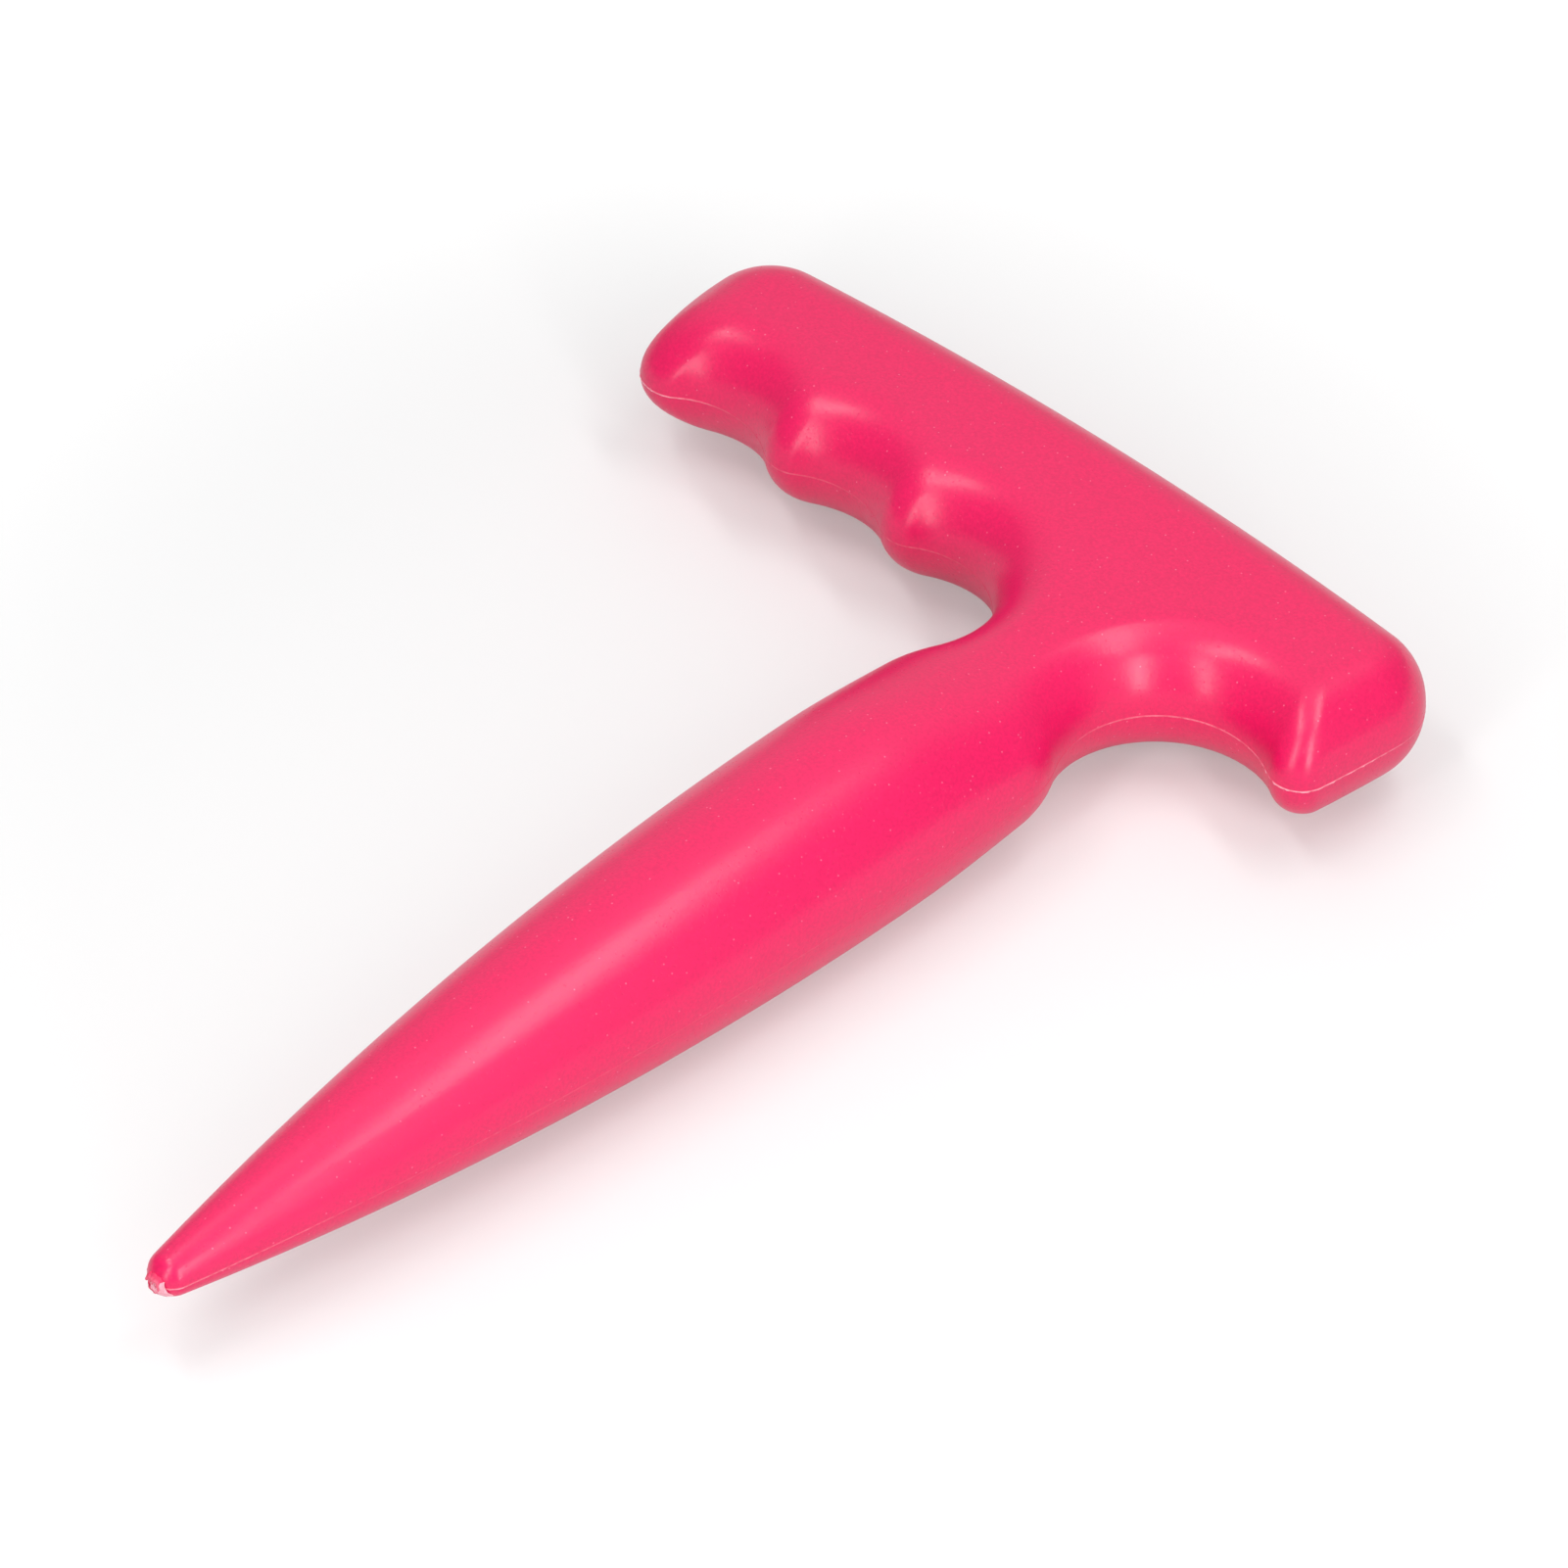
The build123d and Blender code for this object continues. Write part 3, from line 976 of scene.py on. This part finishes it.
@dataclass(frozen=True)
class PartingSeam(MouldedPiece):
    """The weld between the halves: a bead inside and, outside, the flash that the trimming left."""

    spacing: float = 0.5
    edge_half: float = 0.09  # half the flash's thickness at its trimmed edge
    sunk: float = 0.02  # how far inside the skin the flash starts
    bump_mm: float = 1.1
    cut: Raggedness = Raggedness(level=7.0, weakening=0.7, refining=2.2, octaves=3)
    rise_mean: float = 0.6  # the flash's height, as a share of what its place keeps
    rise_spread: float = 0.9
    rise_range: tuple[float, float] = (0.08, 1.5)
    pale_mean: float = 0.9  # how far it was whitened, likewise
    pale_spread: float = 0.9
    tip_share: float = 0.5  # flash left beside the torn point, and the length over which it fades
    tip_reach: float = 9.0
    bead_slope: float = 0.8  # keeps the bead short of the middle in the narrow point
    bead_least: float = 0.2
    sharp_degrees: float = 30.0
    flash_share: dict[Place, float] = field(default_factory=lambda: {
        Place.POINT: 0.6, Place.SHAFT: 0.12, Place.NECK: 0.1, Place.GROOVE: 0.14, Place.SHORT_GROOVE: 0.36,
        Place.STOP: 0.22, Place.LOBE: 0.9, Place.END: 0.5, Place.CORNER: 0.35, Place.PALM: 0.16,
    })

    def build(self, origin: np.ndarray) -> bpy.types.Object:
        """Builds the seam as a closed band round the moulding.

        Args:
            origin: Where the mould coordinates' origin lies in the frame, in mm.

        Returns:
            The new piece.
        """
        plan = self.plan
        line, places = plan.parting_line()
        shares = np.array([self.flash_share[place] for place in places])
        shares = np.maximum(shares, self.tip_share * np.exp((plan.point_y - line[:, 1]) / self.tip_reach))
        lengths = np.concatenate([[0], np.cumsum(np.linalg.norm(np.diff(line, axis=0), axis=1))])
        marks = np.linspace(0, lengths[-1], int(lengths[-1] / self.spacing))
        line = np.column_stack([np.interp(marks, lengths, line[:, axis]) for axis in (0, 1)])
        share = np.interp(marks, lengths, eased(shares, plan.ease_reach))
        way = np.gradient(line, axis=0)
        out = np.column_stack([way[:, 1], -way[:, 0]]) / np.linalg.norm(way, axis=1)[:, None]
        ragged = np.array([self.cut.at(mark / self.bump_mm, 0.0) for mark in marks])
        uneven = np.clip(self.rise_mean + self.rise_spread * ragged, *self.rise_range)
        rise = plan.flash_height * share * uneven
        pale = np.clip(share * (self.pale_mean + self.pale_spread * ragged), 0.0, 1.0)

        # The band's section, from the bead over the flash and back, as distances out of the skin and heights
        half = plan.seam_thickness / 2
        foot = np.full(len(marks), -self.sunk)
        room = self.bead_slope * np.abs(line[:, 0]) + self.bead_least
        bead = -np.minimum(plan.wall + plan.bead_depth, room)
        upper = [(bead, half), (foot, half), (rise, self.edge_half)]
        profile = upper + [(offset, -z) for offset, z in reversed(upper)]
        sketch = MeshSketch()
        rows = []
        for offset, z in profile:
            points = np.column_stack([line + out * offset[:, None], np.full(len(marks), z)])
            rows.append(sketch.points(points, drawn=pale * (abs(z) < half)))
        for near, far in zip(rows, rows[1:] + rows[:1]):
            sketch.strip(near, far)
        for end in (0, -1):
            sketch.face([row[end] for row in rows])
        return sketch.piece(f"{self.node}_trimmed", origin, self.sharp_degrees)


@dataclass(frozen=True)
class DrawnFlap:
    """The thin tongue of drawn plastic that hangs over the edge of the tear."""

    root: tuple[float, float] = (0.75, 0.85)  # x and z where it starts
    run: tuple[float, float] = (1.2, -2.9)  # how they run on to its end
    spread: tuple[float, float] = (0.8, 0.35)  # how its width lies across them
    width: float = 2.9
    narrowing: float = 0.35
    fraying: float = 0.2
    thickness: float = 0.28
    clearance: float = 0.24
    arch: float = 0.4  # how far it arches away from the skin
    arch_start: float = 0.15
    face_drop: float = 0.4  # the skin under it counts as no farther out than this
    least_square: float = 0.5  # keeps the skin's height real past the point's rounding
    ridge_height: float = 0.08
    ridges: float = 3.5
    fibre_height: float = 0.12
    fibre_bumps: tuple[float, float] = (4.0, 3.0)  # across and along
    fibre_level: float = 2.0  # where the noise is sliced
    fray_bumps: float = 5.0
    fray_side: float = 2.0  # how far apart the two edges lie in the noise, halved
    fray_level: float = 9.0
    steps: int = 16
    strands: int = 13
    drawn: float = 0.9

    def place(self, plan: MouldPlan, along: float, across: float) -> np.ndarray:
        """Works out a place of the flap's outer side.

        Args:
            plan: The moulding's sizes.
            along: Share of its length, from 0 to 1.
            across: Share of its width, from -0.5 to 0.5.

        Returns:
            The place in mould coordinates.
        """
        bumps = noise.noise((self.fibre_bumps[0] * across, self.fibre_bumps[1] * along, self.fibre_level))
        fibre = self.ridge_height * math.cos(math.tau * self.ridges * across) + self.fibre_height * bumps
        fray = noise.noise((self.fray_bumps * along, math.copysign(self.fray_side, across), self.fray_level))
        width = self.width * (1 - self.narrowing * along**2) * (1 + self.fraying * fray)
        x, z = (
            root + run * along + spread * across * width
            for root, run, spread in zip(self.root, self.run, self.spread)
        )
        rounding = math.sqrt(max(self.least_square, plan.tip_radius**2 - x**2 - z**2))
        skin = max(plan.tip_centre[1] - rounding, plan.point_y - self.face_drop)
        swing = math.pi * min(1.0, self.arch_start + (1 - self.arch_start) * along)
        return np.array([x, skin - self.clearance - self.arch * math.sin(swing) - fibre, z])

    def hang(self, sketch: MeshSketch, plan: MouldPlan) -> None:
        """Adds the flap as a closed tongue.

        Args:
            sketch: The sketch of the stub.
            plan: The moulding's sizes.
        """
        shares = [
            [(step / self.steps, strand / (self.strands - 1) - 0.5) for strand in range(self.strands)]
            for step in range(self.steps + 1)
        ]
        outer = np.array([[self.place(plan, *share) for share in row] for row in shares])
        front = sketch.points(outer, drawn=self.drawn)
        back = sketch.points(outer + np.array([0.0, self.thickness, 0.0]), drawn=self.drawn)
        for side in (front, back):
            sketch.sheet(side)
        for near, far in ((front, back), (front.T, back.T)):
            for end in (0, -1):
                sketch.strip(near[end], far[end])


@dataclass(frozen=True)
class TornTail(MouldedPiece):
    """The stub at the point, where the pinched tail of plastic was torn off."""

    radius: float = 1.92
    roots: tuple[tuple[float, float], ...] = ((0.6, 0.85), (0.25, 0.95))  # depth and share of the radius
    spokes: int = 72
    rings: int = 18
    edge_tear: Raggedness = Raggedness(level=1.0, weakening=0.6, refining=2.0, octaves=3)
    edge_bumps: float = 2.0  # on a round of radius 1
    edge_spread: float = 0.12
    face_tear: Raggedness = Raggedness(level=3.0, weakening=0.6, refining=2.1, octaves=4)
    face_bumps: float = 2.3  # to the mm
    face_lift: float = 0.85  # how far the torn face stands beyond the point
    face_spread: float = 0.28
    face_range: tuple[float, float] = (0.04, 1.15)
    pit_x: float = -0.85
    pit_z: float = -0.45
    pit_width: float = 0.75
    pit_squash: float = 0.6  # its reach across the seam, as a share of that along it
    pit_depth: float = 1.1
    pit_power: int = 6  # how steep its sides are
    rim_lift: float = 0.15  # share of the lift at the edge, and what each ring inwards adds
    rim_step: float = 0.2
    pale_least: float = 0.05  # whitening of the face, which grows with its lift past pale_from
    pale_slope: float = 0.4
    pale_from: float = 0.35
    pale_middle: float = 0.3
    sharp_degrees: float = 60.0
    flap: DrawnFlap = DrawnFlap()

    def lift(self, x: float, z: float) -> float:
        """Works out how far the torn face stands beyond the point.

        Args:
            x: Place along the seam.
            z: Place across it.

        Returns:
            Its height in mm.
        """
        rough = self.face_tear.at(self.face_bumps * x, self.face_bumps * z)
        across = (z - self.pit_z) / (self.pit_squash * self.pit_width)
        away = math.hypot((x - self.pit_x) / self.pit_width, across)
        height = self.face_lift + self.face_spread * rough - self.pit_depth / (1 + away**self.pit_power)
        least, most = self.face_range
        return min(most, max(least, height))

    def build(self, origin: np.ndarray) -> bpy.types.Object:
        """Builds the ragged stub and the flap that hangs from it.

        Args:
            origin: Where the mould coordinates' origin lies in the frame, in mm.

        Returns:
            The new piece.
        """
        sketch = MeshSketch()
        face_y = self.plan.point_y
        angles = np.linspace(0, math.tau, self.spokes, endpoint=False)
        bumps = [
            self.edge_tear.at(self.edge_bumps * math.cos(angle), self.edge_bumps * math.sin(angle))
            for angle in angles
        ]
        edge = self.radius * (1 + self.edge_spread * np.array(bumps))
        rows = []
        for depth, share in self.roots:
            x, z = edge * share * np.cos(angles), edge * share * np.sin(angles)
            rows.append(np.column_stack([x, np.full(self.spokes, face_y + depth), z]))
        for ring in range(self.rings):
            share = 1 - ring / self.rings
            x, z = edge * share * np.cos(angles), edge * share * np.sin(angles)
            fall = min(1.0, self.rim_lift + self.rim_step * ring)
            y = [face_y - fall * self.lift(*spot) for spot in zip(x, z)]
            rows.append(np.column_stack([x, y, z]))
        places = np.array(rows)
        pale = self.pale_least + self.pale_slope * np.maximum(0.0, face_y - places[..., 1] - self.pale_from)
        grid = sketch.points(places, drawn=pale)
        rings = np.column_stack([grid, grid[:, :1]])
        sketch.sheet(rings)
        sketch.face(grid[0])
        centre = sketch.points(np.array([0.0, face_y - self.lift(0.0, 0.0), 0.0]), drawn=self.pale_middle)
        for pair in zip(rings[-1][:-1], rings[-1][1:]):
            sketch.face([*pair, centre])
        self.flap.hang(sketch, self.plan)
        return sketch.piece(f"{self.node}_torn", origin, self.sharp_degrees)


def view_way(azimuth: float, elevation: float) -> Vector:
    """Gives the direction from the object at an azimuth from the front (-Y) towards +X and an elevation."""
    turn, rise = math.radians(azimuth), math.radians(elevation)
    return Vector((math.sin(turn) * math.cos(rise), -math.cos(turn) * math.cos(rise), math.sin(rise)))


@dataclass(frozen=True)
class SoftBox:
    """A studio lamp behind white cloth, which spans two directions seen from the object."""

    name: str
    low: tuple[float, float]  # azimuth and elevation of its two ends, as view_way takes them
    high: tuple[float, float]
    distance: float
    width: float
    power: float  # watts

    def place(self, target: Vector) -> None:
        """Adds the lamp, facing the object.

        Args:
            target: Point of the frame that it faces, in metres.
        """
        low, high = (view_way(*way) * self.distance * MM for way in (self.low, self.high))
        along, away = (high - low).normalized(), ((low + high) / 2).normalized()
        lamp = bpy.data.lights.new(self.name, "AREA")
        lamp.shape = "RECTANGLE"
        lamp.size = (high - low).length
        lamp.size_y = self.width * MM
        lamp.energy = self.power
        thing = bpy.data.objects.new(self.name, lamp)
        thing.visible_camera = False
        turn = Matrix((along, away.cross(along), away)).transposed().to_4x4()
        thing.matrix_world = Matrix.Translation(target + (low + high) / 2) @ turn
        bpy.context.scene.collection.objects.link(thing)


@dataclass(frozen=True)
class Studio:
    """White paper floor, a pale room with soft boxes, and a camera at the photograph's view.

    The room is brightest behind the object, as a lit backdrop is, and the camera sees it as plain white.
    """

    paper: PaperFloor
    floor_side: float = 6000.0
    fill: float = 0.97  # strength of the room's light on the object
    gloss: float = 0.85  # and in its gloss
    dark_side: float = 0.34  # share of both that is left away from the backdrop
    backdrop_way: tuple[float, float, float] = (-0.51, 0.53, 0.68)
    glow_start: float = 0.6  # cosines of the angle from backdrop_way over which the backdrop fades in
    glow_full: float = 0.95
    target: tuple[float, float, float] = (15.85, 27.23, 18.16)
    azimuth: float = 43.99
    elevation: float = 42.82
    roll: float = 1.395
    distance: float = 1397.9
    focal_pixels: float = 8604.8  # focal length in the photograph's pixels
    sight: float = 20.0  # how far the camera sees, in metres
    boxes: tuple[SoftBox, ...] = (
        SoftBox("left_low", (12.0, 4.0), (18.0, 56.0), 900.0, 115.0, 2.1),
        SoftBox("left_top", (14.0, 64.0), (-68.0, 65.0), 900.0, 120.0, 1.45),
        SoftBox("right_low", (70.0, 2.0), (77.0, 50.0), 900.0, 110.0, 2.65),
        SoftBox("right_top", (96.0, 54.0), (175.0, 69.0), 900.0, 130.0, 1.56),
        SoftBox("right_panel", (98.0, 3.0), (98.0, 45.0), 900.0, 470.0, 0.4),
        SoftBox("front_panel", (38.0, 3.0), (38.0, 55.0), 1600.0, 1000.0, 0.4),
        SoftBox("top_panel", (-136.0, 65.0), (44.0, 65.0), 900.0, 800.0, 0.65),
    )

    def lay_floor(self) -> None:
        """Lays the paper under the object."""
        half = self.floor_side / 2 * MM
        corners = [(-half, -half, 0), (half, -half, 0), (half, half, 0), (-half, half, 0)]
        mesh = bpy.data.meshes.new("studio_floor")
        mesh.from_pydata(corners, [], [(0, 1, 2, 3)])
        mesh.materials.append(self.paper.material())
        floor = bpy.data.objects.new("studio_floor", mesh)
        bpy.context.scene.collection.objects.link(floor)

    def light(self) -> None:
        """Sets the light of the pale room and the soft boxes."""
        world = bpy.data.worlds.new("white_room")
        world.use_nodes = True
        tree = world.node_tree
        tree.nodes.clear()
        rays = add_node(tree, "ShaderNodeLightPath", {}, {})
        way = add_node(tree, "ShaderNodeTexCoord", {}, {})["Generated"]
        to_backdrop = {"operation": "DOT_PRODUCT", 1: self.backdrop_way}
        behind = add_node(tree, "ShaderNodeVectorMath", to_backdrop, {0: way})["Value"]
        fade = {
            "interpolation_type": "SMOOTHSTEP",
            "From Min": self.glow_start, "From Max": self.glow_full,
            "To Min": self.dark_side, "To Max": 1.0,
        }
        room = add_node(tree, "ShaderNodeMapRange", fade, {"Value": behind})["Result"]
        shiny = add_node(tree, "ShaderNodeMath", {"operation": "MAXIMUM"},
                         {0: rays["Is Glossy Ray"], 1: rays["Is Transmission Ray"]})["Value"]
        levels = {"To Min": self.fill, "To Max": self.gloss}
        share = add_node(tree, "ShaderNodeMapRange", levels, {"Value": shiny})["Result"]
        around = add_node(tree, "ShaderNodeMath", {"operation": "MULTIPLY"}, {0: room, 1: share})["Value"]
        level = add_node(tree, "ShaderNodeMath", {"operation": "MAXIMUM"},
                         {0: around, 1: rays["Is Camera Ray"]})["Value"]
        glow = add_node(tree, "ShaderNodeBackground", {}, {"Strength": level})["Background"]
        add_node(tree, "ShaderNodeOutputWorld", {}, {"Surface": glow})
        bpy.context.scene.world = world
        for box in self.boxes:
            box.place(Vector(self.target) * MM)

    def frame_view(self) -> None:
        """Sets the camera where the photograph was taken from."""
        lens = bpy.data.cameras.new("photo_camera")
        lens.sensor_width = SENSOR_MM
        lens.lens = SENSOR_MM * self.focal_pixels / PHOTO_PIXELS
        lens.clip_end = self.sight
        camera = bpy.data.objects.new("photo_camera", lens)
        away = view_way(self.azimuth, self.elevation)
        upright = away.to_track_quat("Z", "Y").to_matrix().to_4x4()
        turn = upright @ Matrix.Rotation(math.radians(self.roll), 4, "Z")
        camera.matrix_world = Matrix.Translation((Vector(self.target) + away * self.distance) * MM) @ turn
        bpy.context.scene.collection.objects.link(camera)
        bpy.context.scene.camera = camera
        bpy.context.scene.view_settings.view_transform = "Standard"


def mould_origin(plan: MouldPlan) -> np.ndarray:
    """Finds where the mould coordinates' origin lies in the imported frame.

    Args:
        plan: The moulding's sizes.

    Returns:
        Its place in mm: on the tail's middle line, a whole length above the tail's end, in the seam's plane.
    """
    tail_low, tail_high = (np.array(corner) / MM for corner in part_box("tip_tail"))
    seam_low, seam_high = (np.array(corner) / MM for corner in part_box("parting_seam"))
    middle_x = (tail_low[0] + tail_high[0]) / 2
    seam_z = (seam_low[2] + seam_high[2]) / 2
    return np.array([middle_x, tail_low[1] + plan.overall_length, seam_z])


def main() -> None:
    """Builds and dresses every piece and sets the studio."""
    logging.basicConfig(level=logging.INFO)
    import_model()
    plan = MouldPlan()
    origin = mould_origin(plan)
    satin = BlownPolyethylene()
    drawn = StretchedPolyethylene()
    parts = [
        HalfShell(plan, "upper_shell", "pink_plastic", satin, Half.UPPER),
        HalfShell(plan, "lower_shell", "pink_plastic", satin, Half.LOWER),
        PartingSeam(plan, "parting_seam", "seam_plastic", drawn),
        TornTail(plan, "tip_tail", "seam_plastic", drawn),
    ]
    for part in parts:
        piece = part.build(origin)
        part.dress(piece)
        LOG.info("%s: %d vertices, %d faces", piece.name, len(piece.data.vertices), len(piece.data.polygons))
    studio = Studio(PaperFloor())
    studio.lay_floor()
    studio.light()
    studio.frame_view()


if __name__ == "__main__":
    main()
